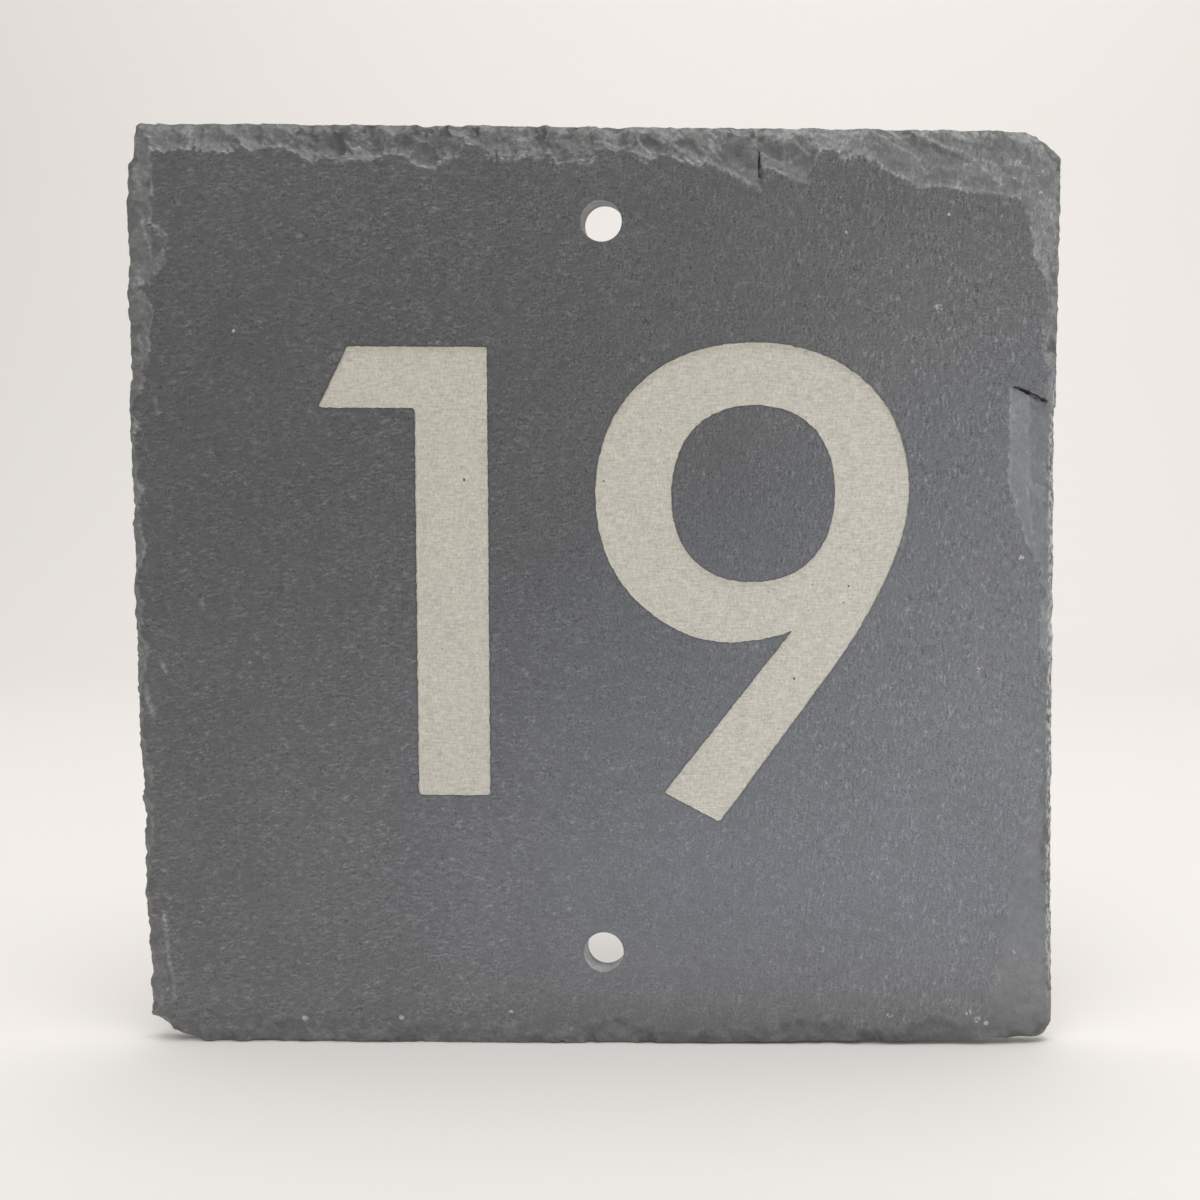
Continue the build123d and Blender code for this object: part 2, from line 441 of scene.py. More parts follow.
# The 9: the bowl and the opening in it, each with its middle, half sizes and how full its curves are,
# and the share of the bowl's round that shows before its lower edge lifts off towards the tail
bowl = np.array([24.27, 16.2])
bowl_half = np.array([25.38, 24.15])
bowl_fullness = 0.604
bowl_lean = 0.016
bowl_share = 0.63
counter = np.array([24.44, 16.07])
counter_half = np.array([13.23, 14.29])
counter_fullness = 0.626

# Its tail: the middle, width and angle of its foot, the angle and length of its straight edges, and
# the handles of the bend on its right and of the lower edge of the bowl on its left
tail_foot = np.array([14.56, -35.26])
tail_foot_width = 10.3
tail_foot_angle = -28.0
tail_left_angle = 52.0
tail_left_length = 33.9
tail_right_angle = 54.2
tail_right_length = 31.0
bend_start = 11.0
bend_end = 8.3
lift_start = 10.9
lift_end = 9.8
lift_angle = 18.5
curve_points = 60

# Pale marks on the face, and dark nicks in the engraving: place and radius
pale_marks = [
    ((-70.2, -56.1), 0.50),
    ((-49.6, -70.9), 0.60),
    ((-33.5, -70.6), 0.60),
    ((-15.4, -69.8), 0.60),
    ((47.3, -69.9), 0.60),
    ((60.2, -69.4), 0.80),
    ((61.9, -70.6), 0.70),
    ((63.3, -71.2), 0.50),
    ((67.8, -59.3), 0.50),
    ((61.3, -12.4), 0.50),
    ((68.0, 6.0), 0.60),
    ((66.8, 69.4), 0.45),
    ((66.5, 68.6), 0.55),
    ((66.2, 66.8), 0.45),
    ((70.6, 67.9), 0.40),
    ((69.8, 67.4), 0.45),
    ((70.3, 65.5), 0.35),
    ((70.4, 64.4), 0.45),
    ((69.2, 61.9), 0.35),
    ((55.6, 60.8), 0.35),
    ((39.1, 57.9), 0.35),
    ((54.1, 45.9), 0.90),
    ((-59.2, 41.8), 0.40),
]
engraving_nicks = [
    ((-22.4, 18.1), 0.30),
    ((31.2, -14.0), 0.28),
    ((40.0, 1.2), 0.22),
    ((39.2, -1.5), 0.18),
    ((34.1, 1.4), 0.16),
    ((0.2, 18.0), 0.20),
    ((26.9, 0.2), 0.16),
]


def waves(points, wavelength, seed, count=36):
    """Smooth random heights with a spread of about 1: the sum of count plane waves, in random
    directions and phases, each within a third of the wavelength, over the root of half of count."""
    draw = np.random.default_rng(seed)
    heading = draw.normal(size=(points.shape[1], count))
    heading /= np.linalg.norm(heading, axis=0)
    number = 2 * np.pi / (wavelength * draw.uniform(0.7, 1.35, count))
    phase = draw.uniform(0, 2 * np.pi, count)
    return np.cos(points @ (heading * number) + phase).sum(axis=1) / sqrt(count / 2)


def wander(points, sizes, seed):
    """A shift for each point: in x and in z a sum of waves, each given by its size and wavelength."""
    shifts = []
    for axis_seed in (seed, seed + len(sizes)):
        parts = [size * waves(points, length, axis_seed + i) for i, (size, length) in enumerate(sizes)]
        shifts.append(np.sum(parts, axis=0))
    return np.column_stack(shifts)


def ramp(low, high, values):
    """0 up to low, 1 from high and a smooth S between them."""
    t = np.clip((values - low) / (high - low), 0, 1)
    return t * t * (3 - 2 * t)


def polar(length, angle):
    """A step of a given length on the face, at an angle in degrees from x."""
    return length * np.array([cos(radians(angle)), sin(radians(angle))])


def left_of(direction):
    """A direction on the face turned a quarter turn anticlockwise."""
    return np.array([-direction[1], direction[0]])


# Outline


class EdgePiece:
    """One edge of the slab, or one broken corner: a shallow arch between two points.

    At share s of the way it stands 4 s (1 - s) bow out of the line between its ends.
    """

    def __init__(self, name, first, last, bow):
        self.name = name
        self.first = first
        self.bow = bow
        self.length = float(np.linalg.norm(last - first))
        self.run = (last - first) / self.length
        self.outward = left_of(self.run)

    def at(self, share):
        """The point, or points, at a share of the way along."""
        share = np.asarray(share, float)[..., None]
        arch = 4 * share * (1 - share) * self.bow
        return self.first + share * self.length * self.run + arch * self.outward

    def share(self, points):
        """How far along this edge points lie, from 0 to 1."""
        return np.clip((points - self.first) @ self.run / self.length, 0, 1)

    def inset(self, points):
        """How far points lie in from this edge."""
        share = self.share(points)
        return 4 * share * (1 - share) * self.bow - (points - self.first) @ self.outward


def outline_pieces():
    """The four edges and four broken corners, clockwise from the top edge."""
    ends = []
    for name, start, end in clockwise:
        start_place = np.array(corner_places[start])
        end_place = np.array(corner_places[end])
        run = (end_place - start_place) / np.linalg.norm(end_place - start_place)
        first = start_place + run * corner_breaks[start][1]
        last = end_place - run * corner_breaks[end][0]
        ends.append((name, first, last))
    pieces = []
    for i, (name, first, last) in enumerate(ends):
        pieces.append(EdgePiece(name, first, last, edge_bows[name]))
        following = ends[(i + 1) % len(ends)][1]
        pieces.append(EdgePiece("corner", last, following, edge_bows["corner"]))
    return pieces


pieces = outline_pieces()


def edge_inset(points):
    """How far points lie in from the outline, and which piece of it is nearest."""
    insets = np.array([piece.inset(points) for piece in pieces])
    return insets.min(axis=0), insets.argmin(axis=0)


def fresh_and_painted_light_tone(points):
    """Tone of broken stone at points, partly fresh stone and partly painted light and shade: the tones
    along the edges, weighed by nearness.
    """
    total = np.zeros(len(points))
    weights = np.zeros(len(points))
    for piece in pieces:
        shares, tones = zip(*fresh_and_painted_light_tones[piece.name])
        weight = np.exp(-np.maximum(piece.inset(points), 0) / tone_fall)
        total += weight * np.interp(piece.share(points), shares, tones)
        weights += weight
    return total / weights


def eased(values):
    """Values round a closed ring, each drawn a little towards its neighbours."""
    for _ in range(3):
        values = (np.roll(values, 1, 0) + 2 * values + np.roll(values, -1, 0)) / 4
    return values


def outline_ring():
    """Points round the outline at ring_pitch, clockwise, and at each the outward direction times
    how ragged the edge is there."""
    places = []
    rough = []
    for piece in pieces:
        count = max(2, round(piece.length / ring_pitch))
        places.append(piece.at(np.arange(count) / count))
        rough.append(np.full((count, 1), raggedness[piece.name]))
    ring = eased(np.vstack(places))
    notch = ramp(*notch_foot, ring[:, 1]) * (1 - ramp(*notch_top, ring[:, 1]))
    ring[:, 0] += notch_depth * notch * ramp(*notch_side, ring[:, 0])
    along = np.roll(ring, -3, 0) - np.roll(ring, 3, 0)
    outward = np.column_stack((-along[:, 1], along[:, 0]))
    outward /= np.linalg.norm(outward, axis=1)[:, None]
    return ring, outward * eased(np.vstack(rough))


def broken_edge(ring, sway, drop):
    """The outline at a drop below the face, as it broke, kept within the slab's box.

    It falls short of its furthest points by scallops that meet in points, with finer ones in thin
    layers: the size of waves over x, z and a stretched drop.
    """
    short = np.zeros(len(ring))
    for seed, (size, wavelength, layering) in zip((11, 12), scallops):
        layered = np.column_stack((ring, layering * drop))
        short += size * np.abs(waves(layered, wavelength, seed))
    out = ring + sway * (ragged_outset - short)[:, None]
    low = np.array([cad_low.x, cad_low.z]) / MM
    high = np.array([cad_high.x, cad_high.z]) / MM
    return np.clip(out, low, high)


# Dressed front edge


def flake_ball(piece, share, half_width, reach, depth):
    """The ball that scoops one flake: centre on the face, height above the face and radius.

    It meets the face in an arc that starts and ends on the edge, half_width either side, and goes
    in by reach. It cuts depth below the face at the edge.
    """
    arc_radius = (half_width**2 + reach**2) / (2 * reach)
    height = (half_width**2 - depth**2) / (2 * depth)
    centre = piece.at(share) + piece.outward * (arc_radius - reach)
    return (*centre, height, sqrt(height**2 + arc_radius**2))


def main_scars():
    """The larger flakes, the knife's bites and one bite across each broken corner."""
    scars = []
    for piece in pieces:
        if piece.name == "corner":
            half_width = piece.length * corner_bite_spread
            scars.append(flake_ball(piece, 0.5, half_width, corner_bite_reach, corner_bite_depth))
            continue
        scars += [flake_ball(piece, *flake) for flake in edge_flakes[piece.name]]
        pitch, half_width, reach, depth = bite_rows[piece.name]
        count = max(1, round(piece.length / pitch))
        for i in range(count):
            swing = 1 + bite_swing * sin(bite_rhythm * i)
            share = (i + 0.5) / count
            scars.append(flake_ball(piece, share, half_width, reach * swing, depth * swing))
    return scars


def edge_chips():
    """Small chips scattered along the edges, of random width, reach and depth."""
    draw = np.random.default_rng(5)
    chips = []
    for piece in pieces:
        for _ in range(chip_counts[piece.name]):
            share = draw.uniform(0.0, 1.0)
            half_width = draw.uniform(*chip_half_widths)
            reach = half_width * draw.uniform(*chip_reaches)
            depth = half_width * draw.uniform(*chip_depths)
            chips.append(flake_ball(piece, share, half_width, reach, depth))
    return chips


def stretched(points):
    """Points in a frame turned to facet_heading and pressed together along it by facet_stretch."""
    along = points @ polar(1.0, facet_heading)
    across = points @ polar(1.0, facet_heading + 90)
    return np.column_stack((along / facet_stretch, across))


def scar_facets():
    """Shallow dishes scattered over the dressed strips: balls of random footprint and depth, in the
    pressed frame, so that on the slab they are drawn out along facet_heading."""
    draw = np.random.default_rng(8)
    facets = []
    for piece in pieces:
        furthest = facet_strip_share * strip_widths[piece.name]
        for _ in range(facet_counts[piece.name]):
            on_edge = piece.at(draw.uniform(0.0, 1.0))
            centre = on_edge - piece.outward * draw.uniform(-facet_outset, furthest)
            footprint = draw.uniform(*facet_footprints)
            depth = footprint * draw.uniform(*facet_depths)
            height = (footprint**2 - depth**2) / (2 * depth)
            facets.append((*stretched(centre[None, :])[0], height, height + depth))
    return facets


def split_cut(points, lines):
    """How deep a split flake cuts under points: the least of what its lines give, below 0 outside."""
    cuts = []
    for start, end, slope in lines:
        run = np.array(end) - np.array(start)
        inward = left_of(run) / np.linalg.norm(run)
        cuts.append(slope * ((points - np.array(start)) @ inward))
    return np.min(cuts, axis=0)


def two_deepest(points, balls, contrast, seed):
    """The deepest and the second deepest of the balls' cuts under each point, below 0 where a ball
    passes above the face, and the tone of the deepest: 1, give or take up to contrast at random."""
    first = np.full(len(points), -1.0)
    second = np.full(len(points), -1.0)
    tone = np.ones(len(points))
    tones = 1 + contrast * np.random.default_rng(seed).uniform(-1.0, 1.0, len(balls))
    for (x, z, height, radius), ball_tone in zip(balls, tones):
        room = radius**2 - (points[:, 0] - x) ** 2 - (points[:, 1] - z) ** 2
        cut = np.sqrt(np.maximum(room, 0)) - height
        tone = np.where((cut > first) & (cut > 0), ball_tone, tone)
        second = np.maximum(second, np.minimum(first, cut))
        first = np.maximum(first, cut)
    return first, second, tone


def line_at(values, width):
    """1 where values are 0, falling off to 0 within about twice the width."""
    return np.exp(-((values / width) ** 2))


def crest_line(values, crest):
    """A line where values are 0, of the weight and half width that a crest gives."""
    weight, half_width = crest
    return weight * line_at(values, half_width)


def path_distance(points, path):
    """Distance from points to the nearest of the straight stretches between the points of a path."""
    near = np.full(len(points), np.inf)
    for start, end in zip(np.array(path[:-1]), np.array(path[1:])):
        run = end - start
        share = np.clip((points - start) @ run / (run @ run), 0, 1)
        near = np.minimum(near, np.linalg.norm(points - start - share[:, None] * run, axis=1))
    return near


class FrontSurface:
    """The dressed front face at points.

    The scars are read at places shifted by waves, so that their arcs wander, and they lie under
    facets and edge chips. Drop is the sum of those cuts, a low step at each scar's rim, the wear of
    the very edge and the riven face's own waves. Broken is 1 in scars and chips, edge is 1 at the
    very edge, and the tone of the broken stone is partly paler fresh stone and partly painted light
    and shade. Crest marks the thin pale lines of painted highlight where a scar meets the face or
    another scar, and drawn the ridge lines, also a painted highlight. Detailed is true close to both.
    """

    def __init__(self, points):
        shift = wander(points, wander_waves, 21)
        places = points + shift
        split_places = points + split_wander * shift
        inset, nearest = edge_inset(points)
        scar, under, tone = two_deepest(places, main_scars(), scar_contrast, 51)
        for flake_tone, lines in split_flakes:
            cut = split_cut(split_places, lines)
            tone = np.where((cut > scar) & (cut > 0), flake_tone, tone)
            under = np.maximum(under, np.minimum(scar, cut))
            scar = np.maximum(scar, cut)
        facet, facet_under, facet_tone = two_deepest(stretched(places), scar_facets(), facet_contrast, 52)
        chip, chip_under, chip_tone = two_deepest(places, edge_chips(), chip_contrast, 53)
        facet_gap = facet - np.maximum(facet_under, 0)
        chip_gap = chip - np.maximum(chip_under, 0)
        to_line = np.min([path_distance(split_places, path) for path in ridge_lines], axis=0)

        # Facets fade in below a scar's rim and are faint on the smooth scars at the right
        smooth = smooth_share * ramp(*smooth_side, points[:, 0])
        inside = ramp(0.0, facet_onset, scar) * (1 - smooth)
        self.broken = np.maximum(ramp(0.0, broken_scar, scar), ramp(0.0, broken_chip, chip))
        self.edge = line_at(inset, edge_band)
        self.fresh_and_painted_light = fresh_and_painted_light_tone(points) * tone * (1 + inside * (facet_tone - 1)) * chip_tone

        riser = riser_height * (1 - np.exp(-np.maximum(scar, 0) / riser_growth))
        worn = worn_drop * np.maximum(1 - inset / worn_reach, 0) ** 2
        riven = riven_drop
        for seed, (size, wavelength) in zip((27, 28), riven_waves):
            riven = riven + size * np.tanh(waves(points, wavelength, seed))
        drop = np.maximum(scar, 0) + riser + inside * np.maximum(facet, 0) + np.maximum(chip, 0)
        grit_size, grit_wavelength = broken_grit
        grit = self.broken * grit_size * waves(points, grit_wavelength, 25)
        self.drop = np.maximum(drop + worn + riven + grit, 0.0)

        # Pale crests: a painted highlight along the rims and ridges of scars
        rim = crest_line(scar - riser_growth, rim_crest)
        ridge = crest_line(scar - under, scar_crest) * ramp(*ridge_onset, under)
        facet_ridge = crest_line(facet_gap, facet_crest) * inside * (facet > 0)
        chip_ridge = crest_line(chip_gap, chip_crest) * (chip > 0)
        self.crest = np.maximum.reduce((rim, ridge, facet_ridge, chip_ridge))
        self.drawn = line_at(to_line, ridge_half_width)

        # Close to a rim or a ridge, apart from the shallow bites of the lower left and bottom edges
        steep = np.array([piece.name in ("top", "right", "corner") for piece in pieces])[nearest]
        steep |= points[:, 1] > steep_from
        close = (np.abs(scar) < near_rim) | ((scar > 0.1) & (scar - under < near_ridge))
        close |= (chip > -near_chip) & (chip_gap < near_chip)
        close |= (inside > 0.3) & (facet > 0) & (facet_gap < near_facet)
        close |= to_line < near_line
        self.detailed = close & steep


# Engraved numerals


def curve(start, start_handle, end_handle, end):
    """Points on a cubic curve between two places, bent towards two handles, end left out."""
    t = np.linspace(0, 1, curve_points, endpoint=False)[:, None]
    s = 1 - t
    return s**3 * start + 3 * s * s * t * start_handle + 3 * s * t * t * end_handle + t**3 * end


def round_loop(centre, half, fullness):
    """A round loop, anticlockwise from its right: four quarter curves with handles of fullness times
    the half sizes, and a slight lean that slides its top to the right."""
    corner = [np.array(place) for place in ((1.0, 0.0), (1.0, fullness), (fullness, 1.0), (0.0, 1.0))]
    quarter = curve(*corner)
    loop = []
    for _ in range(4):
        loop.append(quarter)
        quarter = np.column_stack((-quarter[:, 1], quarter[:, 0]))
    across, up = np.vstack(loop).T
    return centre + np.column_stack((half[0] * across + bowl_lean * half[1] * up, half[1] * up))


def rounded(corners, radius):
    """A closed outline through corners, each turned by a small curve that starts radius before it."""
    corners = np.asarray(corners, float)
    t = np.linspace(0, 1, 4)[:, None]
    path = []
    for before, corner, after in zip(np.roll(corners, 1, 0), corners, np.roll(corners, -1, 0)):
        enter = corner + (before - corner) * radius / np.linalg.norm(before - corner)
        leave = corner + (after - corner) * radius / np.linalg.norm(after - corner)
        path.append((1 - t) ** 2 * enter + 2 * t * (1 - t) * corner + t**2 * leave)
    return np.vstack(path)


def resampled(path, pitch):
    """A closed path at even steps of about pitch along it."""
    closed = np.vstack((path, path[:1]))
    along = np.concatenate(([0.0], np.cumsum(np.linalg.norm(np.diff(closed, axis=0), axis=1))))
    steps = np.linspace(0, along[-1], round(along[-1] / pitch), endpoint=False)
    return np.column_stack([np.interp(steps, along, closed[:, k]) for k in (0, 1)])


def numeral_one():
    """The 1, anticlockwise: an upright stem with a flag to the left, slanted at its end."""
    corners = [
        (flag_tip + flag_slant, numeral_top),
        (flag_tip, flag_foot),
        (stem_left, flag_foot),
        (stem_left, numeral_foot),
        (stem_right, numeral_foot),
        (stem_right, numeral_top),
    ]
    return rounded(corners, numeral_corner)


def numeral_nine():
    """The 9, anticlockwise: up the bend of the tail, round the bowl and down the tail's left edge."""
    foot_left = tail_foot - polar(tail_foot_width / 2, tail_foot_angle)
    foot_right = tail_foot + polar(tail_foot_width / 2, tail_foot_angle)
    edge = polar(1.0, tail_right_angle)
    elbow = foot_right + tail_right_length * edge
    loop = round_loop(bowl, bowl_half, bowl_fullness)
    side = loop[0]
    bend = curve(elbow, elbow + bend_start * edge, side - np.array([0.0, bend_end]), side)

    # Low on its left the bowl leaves the round, and its lower edge rises to the tail's left edge
    last = round(bowl_share * len(loop))
    along = loop[last + 1] - loop[last - 1]
    start_handle = loop[last] + lift_start * along / np.linalg.norm(along)
    crotch = foot_left + polar(tail_left_length, tail_left_angle)
    lift = curve(loop[last], start_handle, crotch - polar(lift_end, lift_angle), crotch)

    foot = rounded([crotch, foot_left, foot_right, elbow], numeral_corner)
    foot = foot[len(foot) // 4 : 3 * len(foot) // 4]
    return np.vstack((bend, loop[:last], lift, crotch, foot))


def numeral_loops():
    """Each numeral outline at the face and at the floor of the cut, which lies to its left.

    The outlines waver a little, and the floor's loop stands engraving_wall further in.
    """
    opening = round_loop(counter, counter_half, counter_fullness)[::-1]
    loops = []
    for path in (numeral_one(), numeral_nine(), opening):
        loop = resampled(path, numeral_pitch)
        along = np.roll(loop, -1, 0) - np.roll(loop, 1, 0)
        left = np.column_stack((-along[:, 1], along[:, 0]))
        left /= np.linalg.norm(left, axis=1)[:, None]
        rim = loop + wander(loop, numeral_waver, 31)
        loops.append((rim, rim + left * engraving_wall))
    return loops


def within(points, loop):
    """True inside a closed loop: a ray to the right crosses it an odd number of times."""
    x, z = points[:, :1], points[:, 1:]
    ax, az = loop.T
    bx, bz = np.roll(loop, -1, 0).T
    spans = (az > z) != (bz > z)
    rise = np.where(bz == az, 1.0, bz - az)
    crossing = ax + (z - az) * (bx - ax) / rise
    return (spans & (x < crossing)).sum(axis=1) % 2 == 1


def loop_distance(points, loop, limit):
    """Distance from points to a closed loop, or limit where that is less."""
    near = np.full(len(points), limit)
    dense = resampled(loop, 0.1)
    for part in np.array_split(dense, max(1, len(dense) // 60)):
        low = part.min(axis=0) - limit
        high = part.max(axis=0) + limit
        close = np.flatnonzero(((points > low) & (points < high)).all(axis=1))
        away = points[close, None, :] - part[None, :, :]
        distance = np.sqrt((away**2).sum(axis=2)).min(axis=1, initial=limit)
        near[close] = np.minimum(near[close], distance)
    return near


# Cracks


def crack_loops(path, half_width):
    """A crack's outline at the face and the narrow line of its floor, both closed.

    The half width grows and shrinks along the crack as the root of a sine, so that it is nearly
    closed at both ends, and wavers a little.
    """
    path = np.asarray(path)
    along = np.concatenate(([0.0], np.cumsum(np.linalg.norm(np.diff(path, axis=0), axis=1))))
    steps = np.linspace(0, along[-1], max(6, round(along[-1] / crack_pitch)))
    line = np.column_stack([np.interp(steps, along, path[:, k]) for k in (0, 1)])
    run = np.gradient(line, axis=0)
    left = np.column_stack((-run[:, 1], run[:, 0])) / np.linalg.norm(run, axis=1)[:, None]
    share = steps / along[-1]
    spread = half_width * np.sin(np.pi * (0.04 + 0.92 * share)) ** 0.5
    size, wavelength = crack_waver
    spread = (spread * (1 + size * waves(line, wavelength, 35)))[:, None]
    rim = np.vstack((line + left * spread, (line - left * spread)[::-1]))
    inner = line[1:-1]
    narrow = crack_floor_share * (left * spread)[1:-1]
    return rim, np.vstack((inner + narrow, (inner - narrow)[::-1]))


# Mesh


def lattice(spacing):
    """Points of a triangular lattice over the slab's box."""
    columns = np.arange(cad_low.x / MM, cad_high.x / MM, spacing)
    rows = np.arange(cad_low.z / MM, cad_high.z / MM, spacing * sqrt(0.75))
    x, z = np.meshgrid(columns, rows)
    x[1::2] += spacing / 2
    return np.column_stack((x.ravel(), z.ravel()))


def hole_loop(place, radius):
    """A circle round a hole's axis, anticlockwise."""
    turns = np.linspace(0, 2 * np.pi, hole_segments, endpoint=False)
    return np.array(place) + radius * np.column_stack((np.cos(turns), np.sin(turns)))


def clear_of_holes(points, radius):
    """True where points lie further than radius from the axis of every hole."""
    clear = np.ones(len(points), bool)
    for place in hole_places:
        clear &= np.linalg.norm(points - place, axis=1) > radius
    return clear


def triangulated(points, loops, holes):
    """Triangles over points that keep every loop's edges, anticlockwise, with the numbered loops
    left open as holes."""
    starts = np.cumsum([0] + [len(loop) for loop in loops])
    edges = []
    owner = np.full(len(points), -1)
    for i, loop in enumerate(loops):
        first = int(starts[i])
        edges += [(first + k, first + (k + 1) % len(loop)) for k in range(len(loop))]
        owner[first : first + len(loop)] = i
    made = delaunay_2d_cdt([Vector(p) for p in points.tolist()], edges, [], 1, 1e-7)
    triangles = np.array(made[2])
    owners = owner[triangles]
    for hole in holes:
        triangles = triangles[~(owners == hole).all(axis=1)]
        owners = owner[triangles]
    a, b, c = (points[triangles[:, k]] for k in range(3))
    turn = (b - a)[:, 0] * (c - a)[:, 1] - (b - a)[:, 1] * (c - a)[:, 0]
    triangles[turn < 0] = triangles[turn < 0][:, ::-1]
    return triangles


def band(first_loop, second_loop):
    """Triangles between two closed loops of vertex numbers, the second one further back."""
    first_next = np.roll(first_loop, -1)
    second_next = np.roll(second_loop, -1)
    upper = np.column_stack((first_loop, first_next, second_next))
    lower = np.column_stack((first_loop, second_next, second_loop))
    return np.vstack((upper, lower))


def row_places(points, drop):
    """Face coordinates and drops as places in the row frame, in metres."""
    y = cad_low.y + drop * MM
    return np.column_stack((points[:, 0] * MM, y, points[:, 1] * MM))


def face_points(ring, numerals, crack_rims):
    """Points inside the dressed face: closest at ridges, close in the strips along the edges, round
    the holes and along the numerals, and wide apart elsewhere."""
    widths = np.array([strip_widths[piece.name] for piece in pieces])
    rims = [rim for rim, floor in numerals]

    ridges = lattice(ridge_spacing)
    inset, nearest = edge_inset(ridges)
    ridges = ridges[(inset < widths[nearest]) & (inset > outline_gap)]
    ridges = ridges[FrontSurface(ridges).detailed]

    strips = lattice(strip_spacing)
    inset, nearest = edge_inset(strips)
    wanted = (inset < widths[nearest]) | ~clear_of_holes(strips, hole_fine_radius)
    strips = strips[wanted & (inset > strip_gap)]
    strips = strips[~FrontSurface(strips).detailed]

    beside = lattice(numeral_spacing)
    beside = beside[(np.abs(beside) < numeral_field).all(axis=1)]
    near = np.min([loop_distance(beside, rim, numeral_reach) for rim in rims], axis=0)
    beside = beside[near < numeral_reach]

    plain = lattice(plain_spacing)
    inset, nearest = edge_inset(plain)
    plain = plain[inset > widths[nearest] + strip_seam]
    plain = plain[clear_of_holes(plain, hole_fine_radius + strip_seam)]
    clear_from = numeral_reach + numeral_seam
    near = np.min([loop_distance(plain, rim, 2 * clear_from) for rim in rims], axis=0)
    plain = plain[near > clear_from]

    points = np.vstack((ridges, strips, beside, plain))
    points = points[clear_of_holes(points, hole_radius + hole_chamfer + hole_gap)]
    gaps = [(ring, outline_gap)]
    gaps += [(rim, numeral_gap) for rim in rims]
    gaps += [(floor, floor_gap) for rim, floor in numerals]
    gaps += [(rim, crack_gap) for rim in crack_rims]
    for loop, gap in gaps:
        points = points[loop_distance(points, loop, gap) >= gap]
    for rim in crack_rims:
        points = points[~within(points, rim)]
    return points


def front_sheet(ring):
    """Points, drops and triangles of the dressed face with its engraved numerals, which of the
    triangles are engraved, and the shading values at the points.

    The thin dark line of painted shadow outside a numeral and the painted shade inside a crack are one
    shading value. Glow is the thin pale line inside a numeral. The other shading values are those of
    FrontSurface.
    """
    hole_rims = [hole_loop(place, hole_radius + hole_chamfer) for place in hole_places]
    numerals = numeral_loops()
    loops = [ring, *hole_rims]
    floors = [0.0] * len(loops)
    crack_painted_shade = [0.0] * len(loops)
    for rim, floor in numerals:
        loops += [rim, floor]
        floors += [0.0, engraving_depth]
        crack_painted_shade += [0.0, 0.0]
    crack_rims = []
    for path, half_width, depth in cracks:
        rim, floor = crack_loops(path, half_width)
        loops += [rim, floor]
        floors += [0.0, depth]
        # Painted shade inside the crack: half at its rim, full on its floor
        crack_painted_shade += [0.5, 1.0]
        crack_rims.append(rim)

    inner = face_points(ring, numerals, crack_rims)
    cut = np.sum([within(inner, rim) for rim, floor in numerals], axis=0) % 2
    points = np.vstack((*loops, inner))
    spread = [np.full(len(loop), value) for loop, value in zip(loops, floors)]
    sunk = np.concatenate((*spread, engraving_depth * cut))
    crack_loop_count = 2 * len(cracks)
    numeral_count = sum(len(loop) for loop in loops[:-crack_loop_count])
    engraved_points = sunk > 0
    engraved_points[numeral_count : len(points) - len(inner)] = False

    surface = FrontSurface(points)
    near = np.min([loop_distance(points, rim, numeral_reach) for rim, floor in numerals], axis=0)
    spread = [np.full(len(loop), value) for loop, value in zip(loops, crack_painted_shade)]
    # Painted shade: a dark line of painted shadow just outside each numeral, and painted shade in the
    # cracks
    painted_shade = np.concatenate((*spread, np.zeros(len(inner))))
    painted_shade = np.maximum(painted_shade, crest_line(near, painted_shadow_line) * ~engraved_points)
    glow = crest_line(np.maximum(near - engraving_wall, 0), glow_line) * engraved_points

    triangles = triangulated(points, loops, holes=(1, 2))
    engraved = engraved_points[triangles].any(axis=1)
    shades = {
        "broken": surface.broken,
        "edge": surface.edge,
        "fresh_and_painted_light": surface.fresh_and_painted_light,
        "crest": surface.crest,
        "drawn": surface.drawn,
        "painted_shade": painted_shade,
        "glow": glow,
    }
    return points, surface.drop + sunk, triangles, engraved, shades


def back_surface(points):
    """Drop of the back: nearly flat, with shallow terraces where thin layers split off.

    A terrace is a short ramp where broad waves, frayed by finer ones, pass a level.
    """
    level = waves(points, 46.0, 41) + 0.25 * waves(points, 9.0, 42)
    steps = np.zeros(len(points))
    for height, low, high in back_terraces:
        steps += height * ramp(low, high, level)
    size, wavelength = back_waves
    return thickness - steps - size * (1 + np.tanh(waves(points, wavelength, 43)))


def back_sheet(ring):
    """Points, drops and triangles of the back."""
    hole_rims = [hole_loop(place, hole_radius) for place in hole_places]
    inner = lattice(back_spacing)
    inset, nearest = edge_inset(inner)
    inner = inner[(inset > 0.7 * back_spacing) & clear_of_holes(inner, hole_radius + 0.6)]
    loops = [ring, *hole_rims]
    points = np.vstack((*loops, inner))
    return points, back_surface(points), triangulated(points, loops, holes=(1, 2))[:, ::-1]


